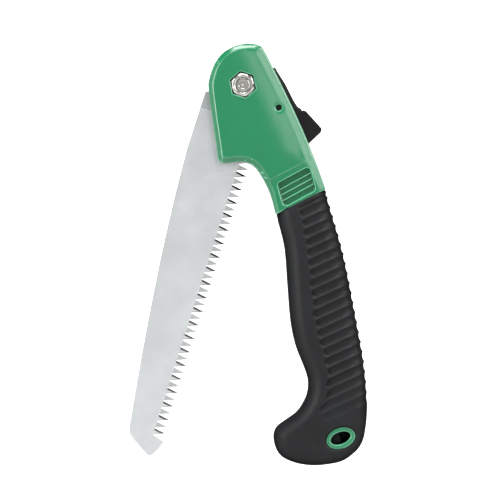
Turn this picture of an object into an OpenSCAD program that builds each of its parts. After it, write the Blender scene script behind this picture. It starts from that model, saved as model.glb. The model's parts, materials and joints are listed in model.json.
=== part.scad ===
// Folding pruning saw: a steel blade that folds into a two-shot handle and locks open or closed.
// The origin is on the pivot axis, midway between the cheeks. +X is the back of the handle,
// +Z is up and +Y points away from the side with the nut. Angles are measured from +Z towards +X.

/* [Blade] */
// Thickness of the blade
blade_t = 1.4; // [1.2:0.1:1.5]
// Angle of the blade at rest, from straight down towards the front
blade_tilt = 17.65; // [17:0.05:18]
// Distance from the pivot to the first tooth
teeth_start = 35; // [34:0.5:36]
// Number of teeth
tooth_count = 42; // [36:1:42]
// Pitch of the teeth
tooth_pitch = 4.01; // [3.8:0.01:4.01]
// Distance of the tooth points from the blade's centre line
tooth_tip_n = 17.8; // [17:0.1:18]
// Distance of the gullets from the blade's centre line
gullet_n = 11.2; // [11:0.1:12]
// Radius of the tang where it passes the lock pawl
tang_r = 16.55; // [16.5:0.05:16.6]
// Radius of the tang between the lock notches
tang_relief_r = 14.3; // [14:0.1:14.5]

/* [Motion] */
// Turn from rest to fully folded
fold_turn = 25.5; // [25:0.5:26]
// Turn from rest to fully open
open_turn = 154.5; // [154:0.5:155]

/* [Handle] */
// Thickness across the cheeks of the head
head_t = 22; // [22:0.5:23]
// Width of the bevel around the head, seen from the side
bevel_w = 2.8; // [2:0.1:3]
// Height of the bevel, across the cheek
bevel_h = 2.2; // [1.5:0.1:2.4]
// How much wider the bevel is along the back
bevel_back = 0.9; // [0:0.1:1]
// Thickness of the rubber grip at its middle
grip_t = 23.6; // [23:0.2:24]
// Thickness of the plastic spine inside the grip
spine_t = 17; // [15:0.5:18]
// Thickness of the rubber over the spine's edge
rubber_cover = 5; // [4.5:0.5:5]
// Width of the slot for the blade
slot_w = 3.2; // [3:0.1:3.4]
// Depth of the recessed window, from the cheek's face
window_depth = 3; // [2.4:0.1:3.2]
// Step from the cheek's face down to the window's surround
surround_step = 0.25; // [0.1:0.05:0.4]
// Drop of the surround where it meets the rubber
surround_drop = 0.9; // [0.5:0.1:1]
// Number of ribs across the window
window_ribs = 3; // [2:1:4]
// Direction of the window's ribs, above horizontal
window_tilt = 28.5; // [27:0.5:30]

/* [Lanyard eye] */
// Length of the hole
eye_l = 11.6; // [10:0.1:12]
// Width of the hole
eye_w = 6.5; // [5:0.1:7]
// Wall of plastic around the hole
eye_wall = 2.9; // [2.5:0.1:3]
// Tilt of the hole above horizontal
eye_tilt = 21; // [19:1:23]

/* [Pivot] */
// Diameter of the pivot bolt
bolt_d = 8; // [7.8:0.1:8]
// Nut across flats
nut_af = 12; // [11.5:0.5:12]
// Thickness of the nut
nut_t = 4.6; // [4.4:0.1:4.6]
// Diameter of the bolt's head
bolt_head_d = 13.6; // [13:0.1:13.8]
// Key size of the bolt's socket
socket_af = 5; // [4:0.5:5]

/* [Lock] */
// Diameter of the lock pin
lock_pin_d = 3.4; // [3:0.1:3.4]
// Thickness of the lock pawl
pawl_t = 2.8; // [2.4:0.1:2.8]
// Width of the thumb button
button_w = 9; // [8.4:0.1:9]
// Outside diameter of the lock spring
spring_od = 4.4; // [4:0.1:4.6]
// Wire diameter of the lock spring
spring_wire = 0.6; // [0.5:0.05:0.7]
// Turns of the lock spring
spring_turns = 6; // [5:1:7]

/* [Hidden] */
$fn = 64;
far = 100;                                // beyond every side of the head
joint_tilt = 26.9;                        // slope of the line where rubber meets plastic
joint_point = [18.6, -72.9];              // a point of that line
pin_at = [20.15, -12.8];                  // lock pin, as [x, z]
eye_at = [54.7, -198.1];                  // centre of the lanyard eye
eye_pocket_y = 4;                         // floor of the eye's pockets, from the middle
eye_deep_y = 3.2;                         // how far each pocket's deep half passes the middle
eye_post = 0.6;                           // wall between the two deep halves
window_mid = [30.1, -57.3];               // middle of the window
window_size = [19.6, 12.6];               // across and along the handle
window_lean = 13;                         // how far the window's sides lean from square
notch_angle = 69.7;                       // direction of the pawl's nose from the pivot
notch_w = 3.5;
notch_floor_r = 14.35;
washer_r = 11;
washer_t = 0.8;
washer_gap = 0.05;
nut_face_r = 5.5;                         // flat face of the nut, inside its chamfer
nut_floor_y = -4.55;                      // floor of the hex recess
nut_recess_af = nut_af + 1.4;
nut_back_y = -6.1;                        // seat of the nut, on the spring washer
bolt_seat_y = 6.4;                        // underside of the bolt's head
bolt_head_h = 4.2;
bolt_end_y = -10.9;
bolt_washer_t = 1;
counterbore_r = 7.6;
fit = 0.1;                                // running clearance on a diameter
hex_turn = 18;                            // turn of the nut about the pivot
green = "mediumseagreen";
steel = "gainsboro";

// ---- outline helpers ----

// Point at radius r and angle a, measured from +Z towards +X
function polar(r, a) = [r * sin(a), r * cos(a)];

// Points of an arc about the origin
function arc(r, a0, a1, steps) = [for (i = [0:steps]) polar(r, a0 + (a1 - a0) * i / steps)];

// Point of a cubic Bezier curve
function bezier(p, u) = pow(1 - u, 3) * p[0] + 3 * u * pow(1 - u, 2) * p[1]
                      + 3 * u * u * (1 - u) * p[2] + pow(u, 3) * p[3];

// Closed smooth curve through control points
function smooth(p, steps) = [
    for (i = [0:len(p) - 1])
        let (a = p[(i + len(p) - 1) % len(p)], b = p[i], c = p[(i + 1) % len(p)],
             d = p[(i + 2) % len(p)], ka = (c - a) / 6, kd = (d - b) / 6)
        for (s = [0:steps - 1]) bezier([b, b + ka, c - kd, c], s / steps)
];

// Inward normals of a closed clockwise outline
function inward(p) = [
    for (i = [0:len(p) - 1])
        let (t = p[(i + 1) % len(p)] - p[(i + len(p) - 1) % len(p)])
        [t[1], -t[0]] / norm(t)
];

// Radius of the largest circle inside the outline that touches it at point i
function room(p, n, i) = min([
    for (j = [0:len(p) - 1])
        let (d = p[j] - p[i], across = d * n[i])
        if (j != i && across > 0.001) d * d / (2 * across)
]);

// How squarely an edge with this inward normal faces the back: 0 to 1
back_facing = [-0.88, -0.47];
function backness(n) = max(0, min(1, (n * back_facing - 0.7) / 0.2));

// Outline moved inwards by an amount, more along the back and less where the shape is narrow
function inset(p, amount, back = 0) =
    let (n = inward(p))
    [for (i = [0:len(p) - 1])
        p[i] + n[i] * min(amount * (1 + back * backness(n[i])), 0.85 * room(p, n, i))];

// A 2D shape in the XZ plane, thickened both ways along Y
module plate(t) rotate([90, 0, 0]) linear_extrude(t, center = true) children();

// A round bar along Y between two y values
module bar(r, y0, y1, sides = 64) {
    translate([0, y0, 0]) rotate([-90, 0, 0]) cylinder(h = y1 - y0, r = r, $fn = sides);
}

// A ring along Y
module ring(r_in, r_out, y0, y1) {
    difference() {
        bar(r_out, y0, y1);
        bar(r_in, y0 - 1, y1 + 1);
    }
}

// A solid skinned through insets of one outline; levels are [y, inset] from front to back
module layered(p, levels, back = 0) {
    n = len(p);
    last = len(levels) - 1;
    points = [for (v = levels) for (q = inset(p, v[1], back)) [q[0], v[0], q[1]]];
    sides = [
        for (k = [0:last - 1]) for (i = [0:n - 1])
            let (a = k * n + i, b = k * n + (i + 1) % n)
            each [[a, b, a + n], [b, b + n, a + n]]
    ];
    front = [for (i = [n - 1:-1:0]) i];
    back = [for (i = [0:n - 1]) last * n + i];
    // resize() changes no size here; it has the concave caps meshed before anything is cut
    resize([0, 0, 0])
        polyhedron(points = points, faces = concat(sides, [front, back]), convexity = 8);
}

// ---- handle ----

handle_points = [
    [-9.7, 19.3], [-3.2, 22.3], [1.5, 23.2], [6.2, 23.1], [10.2, 21.8], [12.4, 18.6], [16.1, 11.5],
    [27.9, -12.5], [37.1, -33.2], [46.1, -57.2], [50, -70.1], [57.6, -97.2], [65.5, -137.9],
    [68.9, -158.2], [70.2, -180], [68.9, -195.5], [66.1, -203.4], [60.5, -209], [54.2, -212.4],
    [43.5, -214.1], [35, -213.9], [27.7, -212.2], [21.5, -209], [18.4, -204.5], [17, -198.9],
    [17.5, -194.9], [19.8, -191.5], [24.9, -187.9], [29.9, -184.2], [33.3, -179.7], [35.9, -174],
    [36.6, -168.4], [35.9, -163.3], [33.1, -155.9], [29.4, -146.3], [26.6, -132.8],
    [24.9, -112.4], [23.4, -92.7], [20.9, -81.4], [18.4, -72.6], [16.1, -63.8], [13.6, -57.2],
    [10.5, -51.4], [7.2, -46.6], [3.3, -43.9], [-1.9, -43.1], [-9, -43.9], [-12.9, -43.2],
    [-14.4, -40], [-14.9, -35], [-17, -20.9], [-19.4, -2.3], [-19, 3.4], [-16.8, 10.2],
    [-13.7, 15.4]
];
outline = smooth(handle_points, 3);
bevel_levels = [[-head_t / 2, bevel_w], [bevel_h - head_t / 2, 0], [head_t / 2 - bevel_h, 0],
                [head_t / 2, bevel_w]];
pillow_r = 9;                             // how far the rubber's rounding reaches in
pillow_h = 12;                            // height at which the rounding would close
pillow_y = [-1, -0.9, -0.72, -0.42, 0, 0.42, 0.72, 0.9, 1] * (grip_t / 2);
pillow_levels = [for (y = pillow_y) [y, pillow_r * (1 - sqrt(1 - pow(y / pillow_h, 2)))]];

// Half plane on the grip's side of the joint line
module below_joint() {
    plate(far) translate(joint_point) rotate(joint_tilt) translate([-2 * far, -4 * far])
        square([4 * far, 4 * far]);
}

// The slot's outline: open to the front, with a floor behind the folded blade's back
folded_turn = blade_tilt - fold_turn;
floor_n = 19.4;
slot_reach = 216.2;
function folded(n, t) = [n * cos(folded_turn) - t * sin(folded_turn),
                         -n * sin(folded_turn) - t * cos(folded_turn)];
slot_top_t = 28;
slot_floor_end = sqrt(slot_reach * slot_reach - floor_n * floor_n);
slot_floor_angle = atan2(floor_n, -slot_floor_end) + folded_turn;
slot_outline = concat(
    [[-far, 30], [60, 30], [60, -30], [25.2, -30], folded(floor_n, slot_top_t + 4)],
    arc(slot_reach, slot_floor_angle, 200, 12),
    [[-far, -slot_reach]]
);
module blade_slot() plate(slot_w) polygon(slot_outline);

// Room for the thumb button and its spring behind the pawl
button_pocket = [[25.2, -13], [24.7, -25.5], [29.8, -33.6], [37, -36.5], [60, -25], [60, 0],
                 [33, -6]];

// Recess in the front cheek for the nut and in the rear cheek for the bolt's head
module pivot_cuts() {
    bar(bolt_d / 2 + fit, -far, far);
    rotate([0, hex_turn, 0]) bar(nut_recess_af / sqrt(3), -far, nut_floor_y, 6);
    bar(counterbore_r, bolt_seat_y - bolt_washer_t - 0.05, far);
}

// The window's outline about its middle, leaning a little with the handle
module window_shape(grow = 0) {
    w = window_size[0] / 2 + grow;
    h = window_size[1] / 2 + grow;
    lean = h * tan(window_lean);
    r = 2.2;
    corners = [[-w + lean, h], [w + lean, h], [w - lean, -h], [-w - lean, -h]];
    offset(r, $fn = 24) offset(-r) polygon(corners);
}

// Bars that stay standing in the window, below the cheek's face
bar_w = 0.7;
bar_drop = 1.8;
module window_bars() {
    step = window_size[1] / (window_ribs + 1);
    for (i = [1:window_ribs])
        translate([0, i * step - window_size[1] / 2]) square([2 * window_size[0], bar_w], true);
}

// The window's mouth: above the bars its walls lean outwards
mouth_ledge = 0.16;                       // how much wider the mouth is than the window, below
mouth_w = 0.6;                            // and how much it widens towards the cheek's face
module window_mouth() {
    wider = [1 + 2 * mouth_w / window_size[0], 1 + 2 * mouth_w / window_size[1]];
    translate([window_mid[0], bar_drop - head_t / 2, window_mid[1]])
        rotate([0, -window_tilt, 0]) rotate([90, 0, 0])
            linear_extrude(bar_drop + 0.1, scale = wider, slices = 1) window_shape(mouth_ledge);
}

// Cuts a 2D shape to a depth into the cheek at side -1 or 1
module cheek_cut(side, depth) {
    translate([0, side * (head_t / 2 - depth + 2), 0]) plate(4) children();
}

// Lowers the cheek around the window, sloping down towards the rubber
surround_top = 10.3;                      // from the window's middle up to the step
surround_len = 19.4;                      // from the step down to the rubber
module surround_cut(side) {
    slope = atan((surround_drop - surround_step) / surround_len);
    translate([window_mid[0], side * (head_t / 2 - surround_step), window_mid[1]])
        rotate([0, -joint_tilt, 0]) translate([0, 0, surround_top]) rotate([-side * slope, 0, 0])
            translate([0, side * 3, -20]) cube([70, 6, 40], center = true);
}

module window_cuts(side) {
    surround_cut(side);
    if (side < 0) window_mouth();
    else mirror([0, 1, 0]) window_mouth();
    cheek_cut(side, window_depth) translate(window_mid) rotate(window_tilt) difference() {
        window_shape();
        window_bars();
    }
}

// The plastic around the lanyard eye, longer than the handle is thick
module eye_ring() {
    translate([eye_at[0], 0, eye_at[1]]) rotate([0, -eye_tilt, 0])
        plate(2 * far) scale([eye_l / 2 + eye_wall, eye_w / 2 + eye_wall]) circle(1);
}

// Outline of the eye, made smaller all round
module eye_shape(less = 0) scale([eye_l / 2 - less, eye_w / 2 - less]) circle(1);

// Half of the eye's outline, on side -1 or 1 of a middle wall
module eye_half(side) {
    intersection() {
        eye_shape(0.15);
        translate([side * (eye_l + eye_post) / 2, 0]) square([eye_l, 2 * eye_w], true);
    }
}

// The lanyard passes from a pocket in one side to a pocket in the other, around a middle wall
module eye_hole() {
    translate([eye_at[0], 0, eye_at[1]]) rotate([0, -eye_tilt, 0]) {
        for (side = [-1, 1]) {
            translate([0, side * (far / 2 + eye_pocket_y), 0]) plate(far) eye_shape();
            translate([0, side * (far / 2 - eye_deep_y), 0]) plate(far) eye_half(-side);
        }
        cube([2, 2 * eye_deep_y - 1.4, 0.8 * eye_w], center = true);
    }
}

module spine() plate(spine_t) polygon(inset(outline, rubber_cover));

// Pin hole, open at the front and blind at the back
module pin_hole() {
    translate([pin_at[0], 0, pin_at[1]]) bar(lock_pin_d / 2 + 0.02, -far, 8);
}

module handle_core() color(green) {
    difference() {
        layered(outline, bevel_levels, bevel_back);
        difference() {
            below_joint();
            spine();
            eye_ring();
        }
        for (side = [-1, 1]) window_cuts(side);
        blade_slot();
        plate(button_w + 0.8) polygon(button_pocket);
        pivot_cuts();
        pin_hole();
        eye_hole();
    }
}

module rubber_grip() color("dimgray") {
    difference() {
        intersection() {
            layered(outline, pillow_levels);
            below_joint();
        }
        spine();
        eye_ring();
        blade_slot();
    }
}

// ---- blade, drawn in its own frame: teeth towards +X, point towards -Z ----

tip_lean = 1.12;                          // how far a tooth's point leads its front root
tooth_base = 3.65;
function tooth(i) = let (t = teeth_start + tooth_pitch * i)
    [[gullet_n, -t], [tooth_tip_n, -t - tip_lean], [gullet_n, -t - tooth_base]];
teeth_end = teeth_start + tooth_pitch * tooth_count;
tang = concat(
    arc(tang_r, 131.6, 83 - blade_tilt, 14),
    arc(tang_relief_r, 79 - blade_tilt, -62 - blade_tilt, 28),
    arc(tang_r, -66 - blade_tilt, -100.5 - blade_tilt, 8)
);
back_curve = [[-19.4, -42], [-17.2, -96], [-10.4, -150], [-2.6, -0.6 - teeth_end]];
blade_back = concat([[-19.2, -9.5], [-19.3, -15.6]],
                    [for (i = [0:16]) bezier(back_curve, i / 16)]);
blade_point = [for (q = [[-0.9, 3.8], [5.1, 7.8], [11.1, 11.2], [12.2, 11.6], [13.2, 11.5],
                         [14.5, 10.4], [16.8, 6.4], [18.3, 1.8], [12.9, 0.2]])
    [q[0], -teeth_end - q[1]]];
blade_teeth = [for (i = [tooth_count - 1:-1:0]) for (q = [2:-1:0]) tooth(i)[q]];
choil = [[12.4, -34]];

module lock_notch(turn) {
    rotate([0, notch_angle - blade_tilt - turn, 0]) translate([0, 0, notch_floor_r + 5])
        cube([notch_w, 4 * blade_t, 10], center = true);
}

module blade() color(steel) {
    rotate([0, blade_tilt, 0]) difference() {
        plate(blade_t) polygon(concat(tang, blade_back, blade_point, blade_teeth, choil));
        bar(bolt_d / 2 + fit / 2, -blade_t, blade_t);
        lock_notch(-fold_turn);
        lock_notch(open_turn);
    }
}

// ---- pivot ----

// Button head with a hex socket, and a shank with a chamfered end that is turned hollow
module pivot_bolt() color(steel) {
    r = bolt_d / 2;
    top = bolt_seat_y + bolt_head_h;
    head_r = bolt_head_d / 2;
    dome = arc(1, 90, 0, 8);
    profile = concat([[0, bolt_end_y + 0.5], [0.45, bolt_end_y + 0.2], [2.3, bolt_end_y + 0.2],
                      [2.5, bolt_end_y], [r - 0.7, bolt_end_y], [r, bolt_end_y + 0.7],
                      [r, bolt_seat_y], [head_r, bolt_seat_y], [head_r, bolt_seat_y + 1]],
                     [for (q = dome) [3.6 + (head_r - 3.6) * q[0],
                                      bolt_seat_y + 1.2 + (bolt_head_h - 1.2) * q[1]]],
                     [[0, top]]);
    difference() {
        rotate([-90, 0, 0]) rotate_extrude() polygon(profile);
        bar(socket_af / sqrt(3), top - 2.8, far, 6);
    }
}

// Hex nut with rounded-off corners and a countersunk thread
module pivot_nut() color(steel) {
    corner_r = nut_af / sqrt(3);
    front_y = nut_back_y - nut_t;
    difference() {
        rotate([0, hex_turn, 0]) bar(corner_r, front_y, nut_back_y, 6);
        bar(bolt_d / 2 + 0.02, front_y - 1, nut_back_y + 1);
        rotate([90, 0, 0]) rotate_extrude()
            polygon([[nut_face_r, 0.01 - front_y], [corner_r + 0.2, 0.01 - front_y],
                     [corner_r + 0.2, -front_y - 0.95]]);
        rotate([90, 0, 0]) rotate_extrude()
            polygon([[0, 0.01 - front_y], [bolt_d / 2 + 0.9, 0.01 - front_y],
                     [bolt_d / 2, -front_y - 0.7], [0, -front_y - 0.7]]);
    }
}

// Spring washer with its split
module spring_washer() color(steel) {
    difference() {
        ring(4.1, 6.4, nut_back_y + 0.05, nut_floor_y - 0.05);
        rotate([0, 40, 0]) translate([0, 0, 5.5]) rotate([0, 0, 30]) cube([1, 8, 4], center = true);
    }
}

module bolt_washer() color(steel)
    ring(4.2, 7.4, bolt_seat_y - bolt_washer_t, bolt_seat_y - 0.02);

module front_pivot_washer() color("silver")
    ring(4.15, washer_r, -blade_t / 2 - washer_gap - washer_t, -blade_t / 2 - washer_gap);

module rear_pivot_washer() color("silver")
    ring(4.15, washer_r, blade_t / 2 + washer_gap, blade_t / 2 + washer_gap + washer_t);

// ---- lock ----

// The pawl: nose above the pin, tail under the button
pawl_nose = [[17.2, 7.65], [15.17, 7.02], [16.13, 4.38], [18.3, 4.98], [18, -8]];
pawl_boss = [for (q = arc(4, -80, -160, 5)) pin_at + q];
pawl_tail = [[18.2, -15.5], [28.7, -21.8], [33.2, -19.5], [33.2, -13.4], [30.9, -11.9],
             [28.9, -8.9], [24.1, 0.6], [18, 10.4], [16.4, 9.85]];
module pawl_shape() polygon(concat(pawl_nose, pawl_boss, pawl_tail));

module lock_pawl() color("dimgray") {
    difference() {
        plate(pawl_t) pawl_shape();
        translate([pin_at[0], 0, pin_at[1]]) bar(lock_pin_d / 2 + 0.06, -pawl_t, pawl_t);
    }
}

// The spring's seat in the handle and its seat in the button
spring_low = [27, -29.2];
spring_high = [33.8, -24.9];
spring_dir = (spring_high - spring_low) / norm(spring_high - spring_low);
spring_len = norm(spring_high - spring_low);
spring_lean = atan2(spring_dir[0], spring_dir[1]);

button_points = [[27.2, -17.6], [26.4, -24.4], [31.5, -32.5], [36.4, -33.3], [38, -31.8],
                 [44, -26.2], [44.4, -24.4], [43.4, -23.2], [35.6, -14.6], [34, -14],
                 [30, -15.8]];

module thumb_button() color([0.14, 0.14, 0.15]) {
    difference() {
        plate(button_w) polygon(button_points);
        plate(pawl_t + 0.04) offset(0.02) pawl_shape();
        translate([spring_low[0], 0, spring_low[1]]) rotate([0, spring_lean, 0])
            translate([0, 0, -spring_len]) cylinder(h = 2 * spring_len + 0.3, r = spring_od / 2 + 0.5);
    }
}

module lock_pin() color(steel)
    translate([pin_at[0], 0, pin_at[1]]) bar(lock_pin_d / 2, -7.5, 7.5);

// Coil of round wire, swept along a helix
module coil(d, wire, length, turns) {
    steps = 14;
    around = 6;
    count = turns * steps;
    r = (d - wire) / 2;
    rise = length - wire;
    points = [
        for (i = [0:count]) for (j = [0:around - 1])
            let (a = 360 * i / steps, b = 360 * j / around, q = r + wire / 2 * cos(b))
            [q * cos(a), q * sin(a), wire / 2 + rise * i / count + wire / 2 * sin(b)]
    ];
    sides = [
        for (i = [0:count - 1]) for (j = [0:around - 1])
            let (a = i * around + j, b = i * around + (j + 1) % around)
            each [[a, b, a + around], [b, b + around, a + around]]
    ];
    low = [for (j = [around - 1:-1:0]) j];
    high = [for (j = [0:around - 1]) count * around + j];
    polyhedron(points = points, faces = concat(sides, [low, high]), convexity = 10);
}

module lock_spring() color("silver") {
    translate([spring_low[0], 0, spring_low[1]]) rotate([0, spring_lean, 0])
        coil(spring_od, spring_wire, spring_len, spring_turns);
}

handle_core();
rubber_grip();
blade();
pivot_bolt();
pivot_nut();
spring_washer();
bolt_washer();
front_pivot_washer();
rear_pivot_washer();
lock_pawl();
thumb_button();
lock_pin();
lock_spring();
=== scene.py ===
"""A folding pruning saw: its moulded head, ribbed rubber grip, ground blade and pivot hardware."""
import json
import math

import bmesh
import bpy
import numpy as np
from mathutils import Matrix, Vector


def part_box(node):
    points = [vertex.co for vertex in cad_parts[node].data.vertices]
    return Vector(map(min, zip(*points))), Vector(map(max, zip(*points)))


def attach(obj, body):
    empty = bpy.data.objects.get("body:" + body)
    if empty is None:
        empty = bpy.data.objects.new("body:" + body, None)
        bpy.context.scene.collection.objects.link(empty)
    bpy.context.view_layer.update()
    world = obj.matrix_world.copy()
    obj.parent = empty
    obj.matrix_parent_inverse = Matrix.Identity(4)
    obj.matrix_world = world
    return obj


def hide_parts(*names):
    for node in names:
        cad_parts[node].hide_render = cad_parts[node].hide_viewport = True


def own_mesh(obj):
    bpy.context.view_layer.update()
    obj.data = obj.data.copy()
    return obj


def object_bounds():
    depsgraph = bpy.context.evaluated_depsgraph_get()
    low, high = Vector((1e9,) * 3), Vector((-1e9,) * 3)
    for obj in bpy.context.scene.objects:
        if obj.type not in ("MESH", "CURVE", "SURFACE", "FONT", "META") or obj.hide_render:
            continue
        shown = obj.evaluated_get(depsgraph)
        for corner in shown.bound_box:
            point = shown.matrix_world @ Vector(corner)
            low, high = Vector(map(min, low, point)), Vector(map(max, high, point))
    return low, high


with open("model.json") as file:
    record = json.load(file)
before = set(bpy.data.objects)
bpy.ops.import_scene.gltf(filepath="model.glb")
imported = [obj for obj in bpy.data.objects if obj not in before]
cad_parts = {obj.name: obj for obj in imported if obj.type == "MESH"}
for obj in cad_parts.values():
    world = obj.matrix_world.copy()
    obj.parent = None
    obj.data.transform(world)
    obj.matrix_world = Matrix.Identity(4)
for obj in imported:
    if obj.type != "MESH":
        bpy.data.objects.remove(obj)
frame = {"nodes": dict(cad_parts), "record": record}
cad_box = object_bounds()

MM = 0.001
NODES = frame["nodes"]

# ---------------------------------------------------------------- mesh helpers

WELD = 2e-6                           # vertices closer together than this are one
RELAX_STEP = 0.5                      # how far one round moves a point to its neighbours' mean


def points_of(mesh):
    """The vertices of a mesh as an array of rows."""
    co = np.empty(len(mesh.vertices) * 3)
    mesh.vertices.foreach_get("co", co)
    return co.reshape(-1, 3)


def set_points(mesh, co):
    """Moves the vertices of a mesh to an array of rows."""
    mesh.vertices.foreach_set("co", co.astype(np.float32).ravel())
    mesh.update()


def normals_of(mesh):
    """The vertex normals of a mesh as an array of rows."""
    out = np.empty(len(mesh.vertices) * 3)
    mesh.vertex_normals.foreach_get("vector", out)
    return out.reshape(-1, 3)


def face_centres(mesh):
    """The middles of a mesh's faces as an array of rows."""
    out = np.empty(len(mesh.polygons) * 3)
    mesh.polygons.foreach_get("center", out)
    return out.reshape(-1, 3)


def node_bmesh(node):
    """A CAD node's mesh with its split vertices joined again."""
    bm = bmesh.new()
    bm.from_mesh(NODES[node].data)
    bmesh.ops.remove_doubles(bm, verts=bm.verts, dist=WELD)
    return bm


def linked(name, data):
    """A new object in the scene, holding a mesh, a light or a camera."""
    obj = bpy.data.objects.new(name, data)
    bpy.context.scene.collection.objects.link(obj)
    return obj


def new_object(name, bm):
    """A new object in the scene, made from a bmesh."""
    mesh = bpy.data.meshes.new(name)
    bm.to_mesh(mesh)
    bm.free()
    return linked(name, mesh)


def bake_modifiers(obj):
    """Turns an object's modifiers into mesh."""
    graph = bpy.context.evaluated_depsgraph_get()
    mesh = bpy.data.meshes.new_from_object(obj.evaluated_get(graph))
    obj.modifiers.clear()
    obj.data = mesh


def smooth_shading(mesh, angle=None):
    """Shades a mesh smooth, apart from edges sharper than an angle in degrees."""
    mesh.polygons.foreach_set("use_smooth", [True] * len(mesh.polygons))
    if angle is not None:
        mesh.set_sharp_from_angle(angle=math.radians(angle))


def place(obj, body, slot, *nodes):
    """Rides a finished piece on its body, in place of the CAD nodes it stands for."""
    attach(obj, body)
    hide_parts(*nodes)


def flatten_faces(obj, degrees):
    """Joins the triangles of each flat face, so that a bevel sees the true edges."""
    bm = bmesh.new()
    bm.from_mesh(obj.data)
    bmesh.ops.dissolve_limit(bm, angle_limit=math.radians(degrees), use_dissolve_boundaries=False,
                             verts=bm.verts, edges=bm.edges)
    bm.to_mesh(obj.data)
    bm.free()


def bevel_edges(obj, width, segments, angle):
    """Rounds the sharp edges of a mechanical shape and shades its faces cleanly."""
    mod = obj.modifiers.new("edge", "BEVEL")
    mod.width = width
    mod.segments = segments
    mod.limit_method = "ANGLE"
    mod.angle_limit = math.radians(angle)
    bake_modifiers(obj)
    smooth_shading(obj.data, angle)


def rise(values, start, length):
    """A smooth step: 0 up to the start, then rising to 1 over a length."""
    x = np.clip((values - start) / length, 0, 1)
    return x * x * (3 - 2 * x)


def relaxed(mesh, co, share, rounds, axes=(0, 1, 2)):
    """Points drawn towards the mean of their neighbours, each by its own share, along some axes."""
    pairs = np.empty(2 * len(mesh.edges), dtype=np.int32)
    mesh.edges.foreach_get("vertices", pairs)
    a, b = pairs[0::2], pairs[1::2]
    count = len(co)
    near = np.maximum(np.bincount(a, minlength=count) + np.bincount(b, minlength=count), 1)
    co = co.copy()
    for _ in range(rounds):
        for k in axes:
            mean = (np.bincount(a, co[b, k], count) + np.bincount(b, co[a, k], count)) / near
            co[:, k] += RELAX_STEP * share * (mean - co[:, k])
    return co


def voxel_skin(obj, size, smoothing):
    """Remeshes a solid into even quads and relaxes them."""
    mod = obj.modifiers.new("skin", "REMESH")
    mod.mode = "VOXEL"
    mod.voxel_size = size
    mod = obj.modifiers.new("relax", "SMOOTH")
    mod.factor = RELAX_STEP
    mod.iterations = smoothing
    bake_modifiers(obj)
    smooth_shading(obj.data)


# ---------------------------------------------------------------- material helpers


def new_material(name, color, metallic=0.0, roughness=0.5, specular=0.5):
    """A material, its node tree and its shader."""
    mat = bpy.data.materials.new(name)
    mat.use_nodes = True
    bsdf = mat.node_tree.nodes["Principled BSDF"]
    bsdf.inputs["Base Color"].default_value = (*color, 1)
    bsdf.inputs["Metallic"].default_value = metallic
    bsdf.inputs["Roughness"].default_value = roughness
    bsdf.inputs["Specular IOR Level"].default_value = specular
    return mat, mat.node_tree, bsdf


def coordinates(tree, scale=(1, 1, 1), turn=0.0):
    """Object coordinates in millimetres, scaled along each axis after a turn about Y."""
    tex = tree.nodes.new("ShaderNodeTexCoord")
    turned = tree.nodes.new("ShaderNodeMapping")
    turned.inputs["Rotation"].default_value = (0, math.radians(turn), 0)
    sized = tree.nodes.new("ShaderNodeMapping")
    sized.inputs["Scale"].default_value = tuple(1000 * s for s in scale)
    tree.links.new(tex.outputs["Object"], turned.inputs["Vector"])
    tree.links.new(turned.outputs["Vector"], sized.inputs["Vector"])
    return sized.outputs["Vector"]


def split_axes(tree, vector):
    """The outputs X, Y and Z of a vector."""
    split = tree.nodes.new("ShaderNodeSeparateXYZ")
    tree.links.new(vector, split.inputs["Vector"])
    return split.outputs


def noise(tree, vector, scale, detail=3.0, roughness=0.55):
    """Noise with values around 0.5. The scale is its features per unit of the vector."""
    node = tree.nodes.new("ShaderNodeTexNoise")
    node.inputs["Scale"].default_value = scale
    node.inputs["Detail"].default_value = detail
    node.inputs["Roughness"].default_value = roughness
    tree.links.new(vector, node.inputs["Vector"])
    return node.outputs["Fac"]


def ranged(tree, value, low, high, from_low=0.3, from_high=0.7):
    """Maps a range of a value, by default a noise's middle, to low..high."""
    node = tree.nodes.new("ShaderNodeMapRange")
    node.inputs["From Min"].default_value = from_low
    node.inputs["From Max"].default_value = from_high
    node.inputs["To Min"].default_value = low
    node.inputs["To Max"].default_value = high
    tree.links.new(value, node.inputs["Value"])
    return node.outputs["Result"]


def color_mix(tree, a, b, factor=None, blend="MIX"):
    """Mixes two colours, each a triple or a socket, by a factor socket or in full."""
    node = tree.nodes.new("ShaderNodeMix")
    node.data_type = "RGBA"
    node.blend_type = blend
    node.inputs["Factor"].default_value = 1.0
    if factor is not None:
        tree.links.new(factor, node.inputs["Factor"])
    for name, color in (("A", a), ("B", b)):
        if isinstance(color, tuple):
            node.inputs[name].default_value = (*color, 1)
        else:
            tree.links.new(color, node.inputs[name])
    return node.outputs["Result"]


def bump(tree, height, distance, strength=1.0, normal=None):
    """Normals that follow a height."""
    node = tree.nodes.new("ShaderNodeBump")
    node.inputs["Distance"].default_value = distance
    node.inputs["Strength"].default_value = strength
    tree.links.new(height, node.inputs["Height"])
    if normal is not None:
        tree.links.new(normal, node.inputs["Normal"])
    return node.outputs["Normal"]


def openness(tree, reach):
    """How open to the surroundings a point is, 0 to 1: it paints shade into grooves and recesses."""
    node = tree.nodes.new("ShaderNodeAmbientOcclusion")
    node.inputs["Distance"].default_value = reach
    node.samples = 8
    return node.outputs["AO"]


def soft_edges(tree, radius):
    """Normals that roll over sharp edges, as a moulding's small radii do."""
    node = tree.nodes.new("ShaderNodeBevel")
    node.samples = 6
    node.inputs["Radius"].default_value = radius
    return node.outputs["Normal"]


def times(tree, a, b):
    """The product of two value sockets."""
    node = tree.nodes.new("ShaderNodeMath")
    node.operation = "MULTIPLY"
    tree.links.new(a, node.inputs[0])
    tree.links.new(b, node.inputs[1])
    return node.outputs["Value"]


def shaded(tree, color, amount):
    """A colour socket darkened by a value socket."""
    return color_mix(tree, color, amount, blend="MULTIPLY")


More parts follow.
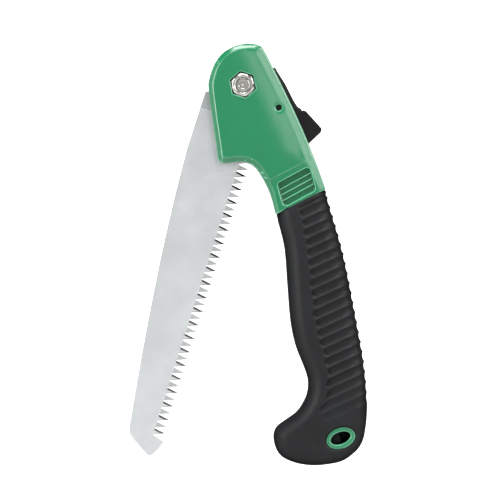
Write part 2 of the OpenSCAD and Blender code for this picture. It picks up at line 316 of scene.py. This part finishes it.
# ---------------------------------------------------------------- materials

CREASE_RANGE = (0.503, 0.526)         # pointiness at which the painted crease highlight starts and is strongest
HIGHLIGHT_SHARE = 0.6                    # how much of the painted highlight colour the sharpest crease takes
RECESS_REACH = 1.6 * MM               # painted shade darkens plastic where its surroundings close in this near
GROOVE_REACH = 2.5 * MM               # the same painted shade for the rubber
EDGE_RADIUS = 0.35 * MM               # mouldings roll over their edges with this radius
MATTE_FROM, MATTE_TO = 0.2, 0.55      # facing values over which a matte surface loses its mirror
LEAST_SPECULAR = 0.01
EDGE_FADE = (-60, -170)               # heights in mm over which the painted shade on the upper facets lightens


def painted_crease_highlight(tree, color, pale):
    """A colour lightened along convex creases: a painted highlight for the glints the light puts on
    them.
    """
    geometry = tree.nodes.new("ShaderNodeNewGeometry")
    crease = ranged(tree, geometry.outputs["Pointiness"], 0, HIGHLIGHT_SHARE, *CREASE_RANGE)
    return color_mix(tree, color, pale, crease)


def matte_rims(tree, bsdf, specular, groove_shade=None):
    """Takes the mirror-like rim off a rough surface seen at a grazing angle."""
    view = tree.nodes.new("ShaderNodeLayerWeight")
    view.inputs["Blend"].default_value = 0.5
    level = ranged(tree, view.outputs["Facing"], specular, LEAST_SPECULAR, MATTE_FROM, MATTE_TO)
    # the painted shade in grooves dims the reflection there too
    if groove_shade is not None:
        level = times(tree, level, groove_shade)
    tree.links.new(level, bsdf.inputs["Specular IOR Level"])


def moulded_plastic(name, color, deeper, roughness, texture, specular=0.5, pale=None, matte=None):
    """Injection-moulded plastic: faint flow mottling, fine orange peel, small gloss changes, painted
    shade in recesses and, if given, a painted highlight along convex creases.
    """
    mat, tree, bsdf = new_material(name, color, roughness=roughness, specular=specular)
    space = coordinates(tree)
    flow = noise(tree, space, scale=0.045, detail=4)
    tint = color_mix(tree, color, deeper, ranged(tree, flow, 0, 1))
    # painted highlight along convex creases
    if pale:
        tint = painted_crease_highlight(tree, tint, pale)
    # painted shade in recesses and narrow gaps
    recess_shade = ranged(tree, openness(tree, RECESS_REACH), 0.05, 1.0, from_low=0.2, from_high=0.85)
    tree.links.new(shaded(tree, tint, recess_shade), bsdf.inputs["Base Color"])
    gloss = noise(tree, space, scale=0.35, detail=3)
    tree.links.new(ranged(tree, gloss, roughness - 0.04, roughness + 0.05), bsdf.inputs["Roughness"])
    peel = noise(tree, space, scale=2.2, detail=4, roughness=0.6)
    rounded = soft_edges(tree, EDGE_RADIUS)
    tree.links.new(bump(tree, peel, texture, normal=rounded), bsdf.inputs["Normal"])
    if matte:
        matte_rims(tree, bsdf, matte)
    return mat


def soft_rubber(name, color, worn, specular):
    """Matte rubber with a fine spark-eroded texture, slightly dusty high spots and painted shade in its
    grooves.
    """
    mat, tree, bsdf = new_material(name, color)
    space = coordinates(tree)
    patch = noise(tree, space, scale=0.06, detail=4)
    # painted shade in the grooves between the ribs and other tight places
    groove_shade = ranged(tree, openness(tree, GROOVE_REACH), 0.15, 1.0, from_low=0.5, from_high=0.95)
    tint = color_mix(tree, color, worn, ranged(tree, patch, 0, 1))
    tree.links.new(shaded(tree, tint, groove_shade), bsdf.inputs["Base Color"])
    grain = noise(tree, space, scale=3.2, detail=3, roughness=0.7)
    tree.links.new(ranged(tree, grain, 0.44, 0.58), bsdf.inputs["Roughness"])
    tree.links.new(bump(tree, grain, distance=0.04 * MM, strength=0.6), bsdf.inputs["Normal"])
    matte_rims(tree, bsdf, specular, groove_shade)
    return mat


def ground_steel(name, color, roughness, turn, streak):
    """Steel with grinding lines across the blade and soft blotches of polish."""
    mat, tree, bsdf = new_material(name, color, metallic=1.0, roughness=roughness)
    along_lines = coordinates(tree, scale=(0.12, 1, 5), turn=turn)
    lines = noise(tree, along_lines, scale=1.0, detail=3, roughness=0.6)
    blotch = noise(tree, coordinates(tree), scale=0.05, detail=3)
    darker = tuple(0.9 * c for c in color)
    tint = color_mix(tree, darker, color, ranged(tree, blotch, 0, 1))
    tree.links.new(tint, bsdf.inputs["Base Color"])
    tree.links.new(ranged(tree, lines, roughness - 0.07, roughness + 0.09), bsdf.inputs["Roughness"])
    tree.links.new(bump(tree, lines, streak), bsdf.inputs["Normal"])
    return mat


def painted_shade_facet(name, near, away):
    """Near-black steel for the upper tooth facets: painted shade, darker near the head than towards the
    blade's point.
    """
    mat, tree, bsdf = new_material(name, near, metallic=1.0)
    space = coordinates(tree)
    fade = ranged(tree, split_axes(tree, space)["Z"], 0, 1, *EDGE_FADE)
    tree.links.new(color_mix(tree, near, away, fade), bsdf.inputs["Base Color"])
    scuff = noise(tree, space, scale=1.5, detail=4)
    tree.links.new(ranged(tree, scuff, 0.28, 0.45), bsdf.inputs["Roughness"])
    return mat


def turned_metal(name, color, roughness):
    """Small plated steel parts: bright, with faint scuffs."""
    mat, tree, bsdf = new_material(name, color, metallic=1.0, roughness=roughness)
    space = coordinates(tree)
    scuff = noise(tree, space, scale=1.4, detail=5, roughness=0.7)
    tree.links.new(ranged(tree, scuff, roughness - 0.04, roughness + 0.05), bsdf.inputs["Roughness"])
    dents = noise(tree, space, scale=3, detail=2)
    tree.links.new(bump(tree, dents, distance=0.0015 * MM), bsdf.inputs["Normal"])
    return mat


# How far the blade leans from straight down, from the box of its CAD node
blade_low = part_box("blade")[0]
BLADE_LEAN = math.degrees(math.atan2(-blade_low.x, -blade_low.z))

# the last colour of the green plastic is its painted crease highlight
GREEN = moulded_plastic("green_plastic", (0.0018, 0.152, 0.058), (0.0036, 0.138, 0.053), 0.2,
                        0.006 * MM, specular=0.75, pale=(0.16, 0.46, 0.3))
# the window floors: a rougher plastic whose darker green is painted shade
ROUGH_SHADED_FLOOR = moulded_plastic("green_window_floor_rough_painted_shade", (0.0012, 0.12, 0.045), (0.001, 0.1, 0.037), 0.3,
                              0.02 * MM)
BUTTON = moulded_plastic("button_plastic", (0.0035, 0.003, 0.0035), (0.0055, 0.005, 0.0055), 0.35,
                         0.03 * MM, matte=0.2)
# The pawl's blacked steel has a fine skin and dull rims; the lock pin takes it too, painted black as
# shade deep in its hole
PAWL = moulded_plastic("pawl_steel", (0.006, 0.006, 0.0065), (0.012, 0.012, 0.0125), 0.4, 0.02 * MM,
                       matte=0.2)
NYLON = moulded_plastic("washer_plastic", (0.6, 0.6, 0.56), (0.5, 0.5, 0.47), 0.5, 0.01 * MM)
RUBBER = soft_rubber("grip_rubber", (0.0066, 0.007, 0.0079), (0.01, 0.0106, 0.0116), 0.21)
BLADE = ground_steel("blade_steel", (0.66, 0.68, 0.69), 0.38, BLADE_LEAN, 0.01 * MM)
TANG = ground_steel("tang_steel", (0.45, 0.465, 0.475), 0.45, BLADE_LEAN, 0.012 * MM)
# tooth tips, lighter where that face is the ground one: a painted highlight and painted shade for how
# alternate teeth catch the light
LIT_TOOTH_TIP = ground_steel("tooth_tip_painted_highlight", (0.74, 0.75, 0.75), 0.3, BLADE_LEAN, 0.008 * MM)
SHADED_TOOTH_TIP = ground_steel("tooth_tip_painted_shade", (0.5, 0.52, 0.52), 0.4, BLADE_LEAN, 0.008 * MM)
# dark facet steels: painted shade on the tooth bevels that face away from the light
SHADED_LOWER_FACET = ground_steel("lower_facet_painted_shade", (0.2, 0.2, 0.2), 0.3, BLADE_LEAN, 0.006 * MM)
SHADED_UPPER_FACET = painted_shade_facet("upper_facet_painted_shade", (0.01, 0.01, 0.011), (0.26, 0.26, 0.26))
HARDWARE = turned_metal("hardware_steel", (0.6, 0.585, 0.555), 0.15)
SPRING = turned_metal("spring_steel", (0.45, 0.45, 0.46), 0.3)

# ---------------------------------------------------------------- head and spine

HEAD_VOXEL = 0.25 * MM
HEAD_ROUNDS = 30                      # relaxing rounds that roll the moulded creases over
# the eye slot paints the eye's deep walls in black rubber as shade; the floor slot is rougher and
# painted darker as shade
HEAD_PLASTIC, EYE_SHADE, FLOOR_ROUGH_SHADE = range(3)      # material slots of the head

WINDOW_MIDDLE = (30.1 * MM, -57.3 * MM)
WINDOW_REACH = 12 * MM                # just past the window's corners
# Places that keep crisper edges: middle (x, z), reach of the full effect, share of relaxing kept
CRISP_PLACES = ((WINDOW_MIDDLE, WINDOW_REACH, 0.03),
                ((0.0, 0.0), 8.6 * MM, 0.06),
                ((20.15 * MM, -12.8 * MM), 2.4 * MM, 0.3))
CRISP_FADE = 1.5 * MM

EYE_REACH = (6.1 * MM, 3.5 * MM)      # half length and half width of the hole whose deep walls are painted dark as shade
EYE_TILT = math.radians(21)           # the eye's long way rises towards the back
EYE_RIM = 2.0 * MM                    # depth at which the eye's green wall ends and its painted black shade begins

WINDOW_FLOOR = 2.3 * MM               # depth below the cheek at which the floor's rougher plastic and painted shade start
WINDOW_INNER = 6 * MM                 # the blade's slot lies nearer to the middle plane than this


def in_eye(centres, cheek):
    """Which faces lie inside the lanyard eye, deeper than its rim: these are painted dark as shade."""
    mounts = {mount["name"]: mount for mount in frame["record"]["mounts"]}
    x, _, z = mounts["lanyard_eye"]["pos_m"]
    dx, dz = centres[:, 0] - x, centres[:, 2] - z
    along = dx * math.cos(EYE_TILT) + dz * math.sin(EYE_TILT)
    aside = dz * math.cos(EYE_TILT) - dx * math.sin(EYE_TILT)
    inside = np.hypot(along / EYE_REACH[0], aside / EYE_REACH[1]) < 1
    return inside & (np.abs(centres[:, 1]) <= cheek - EYE_RIM)


def in_window_floor(centres, cheek):
    """Which faces belong to the floors of the two windows."""
    out = np.abs(centres[:, 1])
    away = np.hypot(centres[:, 0] - WINDOW_MIDDLE[0], centres[:, 2] - WINDOW_MIDDLE[1])
    return (out > WINDOW_INNER) & (out < cheek - WINDOW_FLOOR) & (away < WINDOW_REACH)


BACK_WAY = (0.905, 0.425)             # square to the head's straight back edge, in x and z
CROWN_FALL = 1.1 * MM                 # how far the cheeks fall away towards that edge
CREASE_ROUNDS = 160                   # relaxing rounds that melt the crease along that edge
# Where each effect comes in, as the start and the length of its rise
CROWN_BACK = (0.5 * MM, 13.5 * MM)    # along BACK_WAY
CROWN_UP = (-46 * MM, 12 * MM)        # upwards
CROWN_OUT = (5.5 * MM, 3 * MM)        # out from the middle plane
CREASE_BACK = (9 * MM, 3 * MM)
CREASE_UP = (-44 * MM, 6 * MM)
CREASE_OUT = (6 * MM, 1 * MM)


def crown(mesh, co):
    """Lets the cheeks fall away softly towards the head's back edge."""
    back = co[:, 0] * BACK_WAY[0] + co[:, 2] * BACK_WAY[1]
    out = np.abs(co[:, 1])
    start, length = CROWN_BACK
    fall = CROWN_FALL * np.clip((back - start) / length, 0, 1) ** 2
    fall *= rise(co[:, 2], *CROWN_UP)
    fall *= rise(out, *CROWN_OUT)
    co = co.copy()
    co[:, 1] -= np.sign(co[:, 1]) * fall
    share = rise(back, *CREASE_BACK) * rise(co[:, 2], *CREASE_UP)
    share *= rise(np.abs(co[:, 1]), *CREASE_OUT)
    return relaxed(mesh, co, share, CREASE_ROUNDS, axes=(1,))


def build_head():
    """The green core: CAD shape with its moulded creases rolled over."""
    obj = new_object("green_core", node_bmesh("handle_core"))
    voxel_skin(obj, HEAD_VOXEL, 1)
    mesh = obj.data
    co = points_of(mesh)
    share = np.ones(len(co))
    for (x, z), reach, kept in CRISP_PLACES:
        away = np.hypot(co[:, 0] - x, co[:, 2] - z)
        share = np.minimum(share, kept + (1 - kept) * np.clip((away - reach) / CRISP_FADE, 0, 1))
    set_points(mesh, crown(mesh, relaxed(mesh, co, share, HEAD_ROUNDS)))
    for mat in (GREEN, RUBBER, ROUGH_SHADED_FLOOR):
        mesh.materials.append(mat)
    centres = face_centres(mesh)
    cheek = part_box("handle_core")[1].y
    looks = np.full(len(centres), HEAD_PLASTIC, dtype=np.int32)
    # painted shade: the eye's deep walls take the black rubber
    looks[in_eye(centres, cheek)] = EYE_SHADE
    # painted shade: the window floors take the darker, rougher green
    looks[in_window_floor(centres, cheek)] = FLOOR_ROUGH_SHADE
    mesh.polygons.foreach_set("material_index", looks)
    place(obj, "handle", "green_plastic", "handle_core")


# ---------------------------------------------------------------- rubber grip

GRIP_VOXEL = 0.32 * MM
GRIP_ROUNDS = 40                      # relaxing rounds that even out the grip's rounding
GRIP_SWELL = 0.4 * MM                 # how far the rubber stands proud of its CAD solid
GRIP_SLICE = 1.0 * MM                 # slices in which the grip's width is measured
JOINT_TILT = math.radians(26.9)       # slope of the line where rubber meets plastic
JOINT_KEPT = 0.02                     # share of relaxing at that line

RIB_TILT = math.radians(24.5)         # ribs rise towards the back
RIB_PITCH = 5.44 * MM
RIB_DEPTH = 1.35 * MM
RIB_START = 4.35 * MM                 # first ridge, below the rubber's top corner
CORNER_BAND = 1 * MM                  # that corner is looked for this near the rubber's top
FIRST_ROW, LAST_ROW = -1, 20
FADING_ROWS = 3                       # the last rows get shallower
FADED_DEPTH = 0.5                     # how much shallower the last row is
BACK_SHALLOW = 0.45                   # how much shallower the scoops are where they round the back
# Where the ribs begin: rows, and their start as a share of the grip's width
RIB_FRONTS = ((0, 13, 17, 20), (0.375, 0.325, 0.30, 0.52))
WAVER, WAVER_RATE = 0.012, 2.4        # small changes of that start, from row to row
SCOOP_ROUND = 2.6 * MM                # how far a scoop's front end is rounded
SCOOP_SLOPE = 2.4 * MM                # length over which it runs out
WRAP_FROM = 0.85                      # share of the width behind which the ribs go right round

# Where each effect comes in, as the start and the length of its rise
RELAX_BELOW = (0.5 * MM, 3 * MM)      # below the joint line
SWELL_BELOW = (0.5 * MM, 4 * MM)
RIBS_BELOW = (1.2 * MM, 2 * MM)
SIDE_OUT = (2.2 * MM, 1 * MM)         # out from the middle plane
BACK_ROUND = (0.8, 0.2)               # across the grip, from front 0 to back 1


def across_grip(co):
    """Each point's place down the grip and across it, front 0 to back 1, and the width there."""
    along = co[:, 0] * math.sin(RIB_TILT) - co[:, 2] * math.cos(RIB_TILT)
    rib_way = co[:, 0] * math.cos(RIB_TILT) + co[:, 2] * math.sin(RIB_TILT)
    start = along.min()
    index = ((along - start) / GRIP_SLICE).astype(int)
    low = np.full(index.max() + 1, np.inf)
    high = np.full(index.max() + 1, -np.inf)
    np.minimum.at(low, index, rib_way)
    np.maximum.at(high, index, rib_way)
    centre = start + (np.arange(len(low)) + 0.5) * GRIP_SLICE
    seen = np.isfinite(low)
    front = np.interp(along, centre[seen], low[seen])
    back = np.interp(along, centre[seen], high[seen])
    return along, (rib_way - front) / (back - front), back - front


def joint_distance(co):
    """How far each point lies below the line where the rubber starts."""
    height = co[:, 2] * math.cos(JOINT_TILT) - co[:, 0] * math.sin(JOINT_TILT)
    return height.max() - height


def rib_depths(co):
    """How deep each point of the grip lies in a rib's valley."""
    along, across, width = across_grip(co)
    start = along[co[:, 2] > co[:, 2].max() - CORNER_BAND].min()
    phase = (along - start - RIB_START) / RIB_PITCH
    row = np.floor(phase)
    valley = 1 - (2 * (phase - row) - 1) ** 2
    depth = RIB_DEPTH * valley
    depth *= 1 - FADED_DEPTH * np.clip((row - (LAST_ROW - FADING_ROWS)) / FADING_ROWS, 0, 1)
    depth *= 1 - BACK_SHALLOW * rise(across, *BACK_ROUND)
    front_end = np.interp(row, *RIB_FRONTS) + WAVER * np.sin(row * WAVER_RATE)
    round_end = SCOOP_ROUND * (1 - np.sqrt(valley))
    depth *= rise((across - front_end) * width, round_end, SCOOP_SLOPE)
    depth *= rise(joint_distance(co), *RIBS_BELOW)
    depth *= np.maximum(rise(np.abs(co[:, 1]), *SIDE_OUT), across > WRAP_FROM)
    depth[(row < FIRST_ROW) | (row > LAST_ROW)] = 0
    return depth


def build_grip():
    """The rubber: a smooth front and scooped ribs that wrap around the back."""
    obj = new_object("rubber_grip_skin", node_bmesh("rubber_grip"))
    voxel_skin(obj, GRIP_VOXEL, 1)
    mesh = obj.data
    co = points_of(mesh)
    share = JOINT_KEPT + (1 - JOINT_KEPT) * rise(joint_distance(co), *RELAX_BELOW)
    set_points(mesh, relaxed(mesh, co, share, GRIP_ROUNDS))
    co = points_of(mesh)
    swell = GRIP_SWELL * rise(joint_distance(co), *SWELL_BELOW)
    swell *= rise(np.abs(co[:, 1]), *SIDE_OUT)
    set_points(mesh, co + normals_of(mesh) * (swell - rib_depths(co))[:, None])
    mesh.materials.append(RUBBER)
    place(obj, "handle", "grip_rubber", "rubber_grip")


# ---------------------------------------------------------------- blade

FLAT = 1e-5                           # how near a plate's face a point must lie to belong to it
TOOTH_SHARP = 60                      # degrees: only tooth points are sharper than this
TOOTH_FLANK = 5 * MM                  # a tooth point's first flank is longer than this
UPPER_FACET = 1.1 * MM                # width of the dark ground facet above a tooth
LOWER_FACET = 0.42 * MM               # width of the facet below it
ROOT_SHARE = 0.03                     # facets stop this far from the gullet
BLADE_CREASE = 12                     # degrees: the blade's edges sharper than this stay crisp
# the tip slots carry a painted highlight and painted shade, the facet slots painted shade
PLATE, UNGROUND, LIT_TIP, SHADED_TIP, LOWER, UPPER = range(6)  # material slots of the blade
GRIND_FROM = Vector((-23.5 * MM, 0, -12.6 * MM))        # where the hollow grind starts, below the tang
GRIND_TO = Vector((-18.5 * MM, 0, -13.7 * MM))


def outline_loops(node, y):
    """The closed outlines of a flat plate's face at height y, each as a list of (x, z)."""
    bm = node_bmesh(node)
    follow = {}
    for face in bm.faces:
        if any(abs(v.co.y - y) >= FLAT for v in face.verts):
            continue
        for loop in face.loops:
            twins = [f for f in loop.edge.link_faces if f is not face]
            if not twins or any(abs(v.co.y - y) > FLAT for v in twins[0].verts):
                follow[loop.vert.index] = loop.link_loop_next.vert.index
    place_of = {v.index: (v.co.x, v.co.z) for v in bm.verts}
    bm.free()
    loops = []
    while follow:
        loop, at = [], next(iter(follow))
        while at in follow:
            loop.append(place_of[at])
            at = follow.pop(at)
        loops.append(loop)
    return sorted(loops, key=len, reverse=True)


def signed_area(loop):
    """The area inside an outline, positive if it runs anticlockwise."""
    p = np.array(loop)
    q = np.roll(p, -1, 0)
    return 0.5 * float((p[:, 0] * q[:, 1] - q[:, 0] * p[:, 1]).sum())


def is_tooth_point(a, p, b):
    """Whether the corner p between a and b is the point of a tooth."""
    turn = (a - p).normalized().dot((b - p).normalized())
    return math.degrees(math.acos(max(-1, min(1, turn)))) < TOOTH_SHARP and (p - a).length > TOOTH_FLANK


def tooth_corners(a, p, b):
    """A tooth's corners on its full face and on its ground face, and the looks of its two walls."""
    upper_first = a.y > b.y
    facet_a, facet_b = (UPPER_FACET, LOWER_FACET) if upper_first else (LOWER_FACET, UPPER_FACET)
    ua, ub = (a - p).normalized(), (b - p).normalized()
    inner_tip = p + (ub * facet_a + ua * facet_b) / abs(ua.cross(ub))
    side_a = (ub - ua * ub.dot(ua)).normalized()
    side_b = (ua - ub * ua.dot(ub)).normalized()
    near_a = a + (p - a) * ROOT_SHARE
    near_b = b + (p - b) * ROOT_SHARE
    full = [near_a, p, near_b]
    ground = [near_a + side_a * facet_a, inner_tip, near_b + side_b * facet_b]
    return full, ground, [UPPER, LOWER] if upper_first else [LOWER, UPPER]


def tooth_rings(outline):
    """Front and back outlines of the blade, the looks of the walls that join them, and its teeth.

    Teeth lean their ground facets to alternate faces. Each tooth is given by the place of its
    point in the outlines, with whether the front face is the ground one.
    """
    pts = [Vector(p) for p in outline]
    front, back, looks, teeth = [], [], [], {}
    for i, p in enumerate(pts):
        a, b = pts[i - 1], pts[(i + 1) % len(pts)]
        if not is_tooth_point(a, p, b):
            front.append(p)
            back.append(p)
            looks.append(PLATE)
            continue
        full, ground, wall_looks = tooth_corners(a, p, b)
        faces_front = len(teeth) % 2 == 0
        front += ground if faces_front else full
        back += full if faces_front else ground
        looks += wall_looks + [PLATE]
        teeth[len(front) - 2] = faces_front
    return front, back, looks, teeth


def shade_tang(bm):
    """Gives the tang above the grind line its own, unground finish."""
    across = GRIND_TO - GRIND_FROM
    up = Vector((-across.z, 0, across.x))
    everything = list(bm.verts) + list(bm.edges) + list(bm.faces)
    bmesh.ops.bisect_plane(bm, geom=everything, plane_co=GRIND_FROM, plane_no=up, dist=1e-7)
    for face in bm.faces:
        if (face.calc_center_median() - GRIND_FROM).dot(up) > 0:
            face.material_index = UNGROUND


def ring_pair(bm, front, back):
    """Two rings of new vertices, around a front and a back outline of the blade."""
    low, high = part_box("blade")
    return ([bm.verts.new((x, low.y, z)) for x, z in front],
            [bm.verts.new((x, high.y, z)) for x, z in back])


def join_rings(bm, front, back, looks):
    """The walls between two rings."""
    for i, look in enumerate(looks):
        j = (i + 1) % len(front)
        face = bm.faces.new((front[i], front[j], back[j], back[i]))
        face.material_index = look


def ring_edges(bm, ring):
    """A ring's edges, made where they don't exist yet."""
    pairs = [(ring[i - 1], ring[i]) for i in range(len(ring))]
    return [bm.edges.get(pair) or bm.edges.new(pair) for pair in pairs]


def fill_side(bm, ring, holes, tooth_looks):
    """One face of the blade: a triangle at each tooth's point, then the plate with its holes."""
    for i, look in tooth_looks.items():
        face = bm.faces.new((ring[i - 1], ring[i], ring[i + 1]))
        face.material_index = look
    edges = ring_edges(bm, [v for i, v in enumerate(ring) if i not in tooth_looks])
    for hole in holes:
        edges += ring_edges(bm, hole)
    bmesh.ops.triangle_fill(bm, edges=edges, use_beauty=True)


def build_blade():
    """The blade, rebuilt from its CAD outline with ground teeth."""
    outer, *holes = outline_loops("blade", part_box("blade")[1].y)
    if signed_area(outer) < 0:
        outer = outer[::-1]
    front, back, looks, teeth = tooth_rings(outer)
    bm = bmesh.new()
    rim = ring_pair(bm, front, back)
    hole_rims = [ring_pair(bm, hole, hole) for hole in holes]
    join_rings(bm, *rim, looks)
    for pair in hole_rims:
        join_rings(bm, *pair, [PLATE] * len(pair[0]))
    for side, ground in ((0, True), (1, False)):
        # painted highlight and painted shade on alternate tooth tips
        tooth_looks = {i: LIT_TIP if teeth[i] == ground else SHADED_TIP for i in teeth}
        fill_side(bm, rim[side], [pair[side] for pair in hole_rims], tooth_looks)
    shade_tang(bm)
    bmesh.ops.recalc_face_normals(bm, faces=bm.faces)
    obj = new_object("saw_blade", bm)
    for mat in (BLADE, TANG, LIT_TOOTH_TIP, SHADED_TOOTH_TIP, SHADED_LOWER_FACET, SHADED_UPPER_FACET):
        obj.data.materials.append(mat)
    smooth_shading(obj.data, BLADE_CREASE)
    place(obj, "blade", "blade_steel", "blade")


# ---------------------------------------------------------------- small parts

BUTTON_VOXEL = 0.2 * MM
BUTTON_ROUNDS = 5
PAWL_FLAT = 0.6                       # degrees: the pawl's triangles this near to flat are one face
PAWL_EDGE = 0.18 * MM                 # radius of the pawl's edges
CREASE_ANGLE = 30                     # degrees: edges of the small parts sharper than this stay crisp
SPRING_CREASE = 40


def build_button():
    """The thumb button, a soft-edged plastic cap."""
    obj = new_object("thumb_button_cap", node_bmesh("thumb_button"))
    voxel_skin(obj, BUTTON_VOXEL, BUTTON_ROUNDS)
    obj.data.materials.append(BUTTON)
    place(obj, "lock_lever", "button_plastic", "thumb_button")


def build_pawl():
    """The locking plate, with its stamped edges eased."""
    obj = new_object("lock_pawl_plate", node_bmesh("lock_pawl"))
    flatten_faces(obj, PAWL_FLAT)
    bevel_edges(obj, PAWL_EDGE, 2, CREASE_ANGLE)
    obj.data.materials.append(PAWL)
    place(obj, "lock_lever", "pawl_steel", "lock_pawl")


def build_spring():
    """The lock spring coil, riding on the handle on a mesh of its own.
    """
    obj = new_object("lock_spring_coil", node_bmesh("lock_spring"))
    smooth_shading(obj.data, SPRING_CREASE)
    obj.data.materials.append(SPRING)
    place(obj, "handle", "spring_steel", "lock_spring")
    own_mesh(obj)


def finish_cad_nodes():
    """Materials and shading for the CAD nodes that are shown as they are."""
    looks = {"pivot_bolt": HARDWARE, "pivot_nut": HARDWARE, "spring_washer": HARDWARE,
             "bolt_washer": HARDWARE, "front_pivot_washer": NYLON, "rear_pivot_washer": NYLON,
             # the lock pin is painted black as shade in its hole
             "lock_pin": PAWL}
    for node, mat in looks.items():
        mesh = NODES[node].data
        mesh.materials.clear()
        mesh.materials.append(mat)
        smooth_shading(mesh, CREASE_ANGLE)


build_head()
build_grip()
build_blade()
build_button()
build_pawl()
build_spring()
finish_cad_nodes()

# ---------------------------------------------------------------- stage

PAPER_WHITE = (0.93, 0.93, 0.93)
PAPER_GREY = (0.62, 0.62, 0.62)       # what the saw's steel and plastic see of the paper
PAPER_GLOW = 0.9
PAPER_REFLECTED = 0.45                # share of the glow that lights and mirrors in the saw
GLOW_DEPTHS = (-100, 900)             # distances behind the saw, in mm, over which the glow comes in
FLOOR_DROP = 40 * MM
# The paper in metres: its front edge, its back wall, its width, its bend and its height
PAPER_FRONT, PAPER_BACK, PAPER_WIDTH, PAPER_BEND, PAPER_HEIGHT = -3.0, 1.6, 8.0, 0.5, 3.0
BEND_STEPS = 12


def paper_material():
    """Matte paper that glows towards the back, less so for the saw than for the camera."""
    mat, tree, bsdf = new_material("studio_paper", PAPER_WHITE, roughness=0.9, specular=0.1)
    bsdf.inputs["Emission Color"].default_value = (1, 1, 1, 1)
    glow = ranged(tree, split_axes(tree, coordinates(tree))["Y"], 0, PAPER_GLOW, *GLOW_DEPTHS)
    to_camera = tree.nodes.new("ShaderNodeLightPath").outputs["Is Camera Ray"]
    seen = ranged(tree, to_camera, PAPER_REFLECTED, 1, 0, 1)
    tree.links.new(times(tree, glow, seen), bsdf.inputs["Emission Strength"])
    tree.links.new(color_mix(tree, PAPER_GREY, PAPER_WHITE, to_camera), bsdf.inputs["Base Color"])
    return mat


def build_stage():
    """A pale floor that curves up into a backdrop."""
    floor = cad_box[0][2] - FLOOR_DROP
    bend_from = PAPER_BACK - PAPER_BEND
    profile = [(PAPER_FRONT, 0.0), (bend_from, 0.0)]
    for i in range(1, BEND_STEPS + 1):
        a = math.pi / 2 * i / BEND_STEPS
        profile.append((bend_from + PAPER_BEND * math.sin(a), PAPER_BEND * (1 - math.cos(a))))
    profile.append((PAPER_BACK, PAPER_HEIGHT))
    verts = [(x, y, z + floor) for y, z in profile for x in (-PAPER_WIDTH / 2, PAPER_WIDTH / 2)]
    faces = [(k, k + 1, k + 3, k + 2) for k in range(0, len(verts) - 2, 2)]
    mesh = bpy.data.meshes.new("studio_floor")
    mesh.from_pydata(verts, [], faces)
    smooth_shading(mesh)
    mesh.materials.append(paper_material())
    linked("studio_floor", mesh)


# ---------------------------------------------------------------- light and camera

VIEW_CENTRE = Vector((3.96 * MM, 0, -92.7 * MM))
VIEW_WIDTH = 282.5 * MM
VIEW_DISTANCE = 1.25
SENSOR = 36                           # the camera's sensor width in mm
EXPOSURE = -0.35
# Softboxes: place, width and height in metres, and radiance
SOFTBOXES = {"left_strip": ((-1.0, -0.85, 0.0), (0.34, 1.5), 17),
             "left_panel": ((-1.25, -0.25, 0.2), (0.7, 1.0), 1.2),
             "top_strip": ((0.0, -0.6, 1.0), (0.9, 0.2), 14),
             "top_panel": ((0.0, -0.25, 1.2), (0.9, 0.36), 16),
             "right_panel": ((0.9, -0.95, 0.45), (0.5, 0.6), 5.0),
             "right_side": ((1.15, -0.32, 0.6), (0.6, 0.8), 9.0),
             "right_front": ((0.42, -1.15, 0.12), (0.45, 0.5), 2.6)}
WORLD_LIFT = math.radians(14)         # the surroundings' bright middle is this far above the camera
# Brightness of the surroundings, from straight behind the camera (0) to its sides (1)
SURROUND = ((0.0, 0.66), (0.1, 0.58), (0.25, 0.3), (0.6, 0.32), (1.0, 0.6))


def build_softbox(name, location, size, radiance):
    """A rectangular softbox facing the saw, as wide and as tall as size says."""
    data = bpy.data.lights.new(name, "AREA")
    data.shape = "RECTANGLE"
    data.size, data.size_y = size
    data.energy = radiance * math.pi * size[0] * size[1]
    obj = linked(name, data)
    obj.location = location
    obj.rotation_euler = (VIEW_CENTRE - Vector(location)).to_track_quat("-Z", "Y").to_euler()


def build_world():
    """Soft light from all sides: bright behind the camera for the steel, then a dimmer ring."""
    world = bpy.data.worlds.new("studio")
    world.use_nodes = True
    tree = world.node_tree
    tree.nodes["Background"].inputs["Color"].default_value = (1, 1, 1, 1)
    direction = tree.nodes.new("ShaderNodeTexCoord")
    lift = tree.nodes.new("ShaderNodeMapping")
    lift.inputs["Rotation"].default_value = (WORLD_LIFT, 0, 0)
    tree.links.new(direction.outputs["Generated"], lift.inputs["Vector"])
    shade = tree.nodes.new("ShaderNodeValToRGB")
    ramp = shade.color_ramp
    ramp.interpolation = "EASE"
    while len(ramp.elements) < len(SURROUND):
        ramp.elements.new(0.5)
    for element, (position, level) in zip(ramp.elements, SURROUND):
        element.position = position
        element.color = (level, level, level, 1)
    behind = split_axes(tree, lift.outputs["Vector"])["Y"]
    tree.links.new(ranged(tree, behind, 0, 1, -1, 0), shade.inputs["Fac"])
    tree.links.new(shade.outputs["Color"], tree.nodes["Background"].inputs["Strength"])
    bpy.context.scene.world = world


def build_camera():
    """A camera square to the saw's side."""
    data = bpy.data.cameras.new("camera")
    data.sensor_width = SENSOR
    data.lens = SENSOR * VIEW_DISTANCE / VIEW_WIDTH
    data.clip_start = 0.01
    obj = linked("camera", data)
    obj.location = VIEW_CENTRE + Vector((0, -VIEW_DISTANCE, 0))
    obj.rotation_euler = (math.radians(90), 0, 0)
    bpy.context.scene.camera = obj


build_stage()
build_world()
for name, softbox in SOFTBOXES.items():
    build_softbox(name, *softbox)
build_camera()
bpy.context.scene.view_settings.view_transform = "Standard"
bpy.context.scene.view_settings.exposure = EXPOSURE
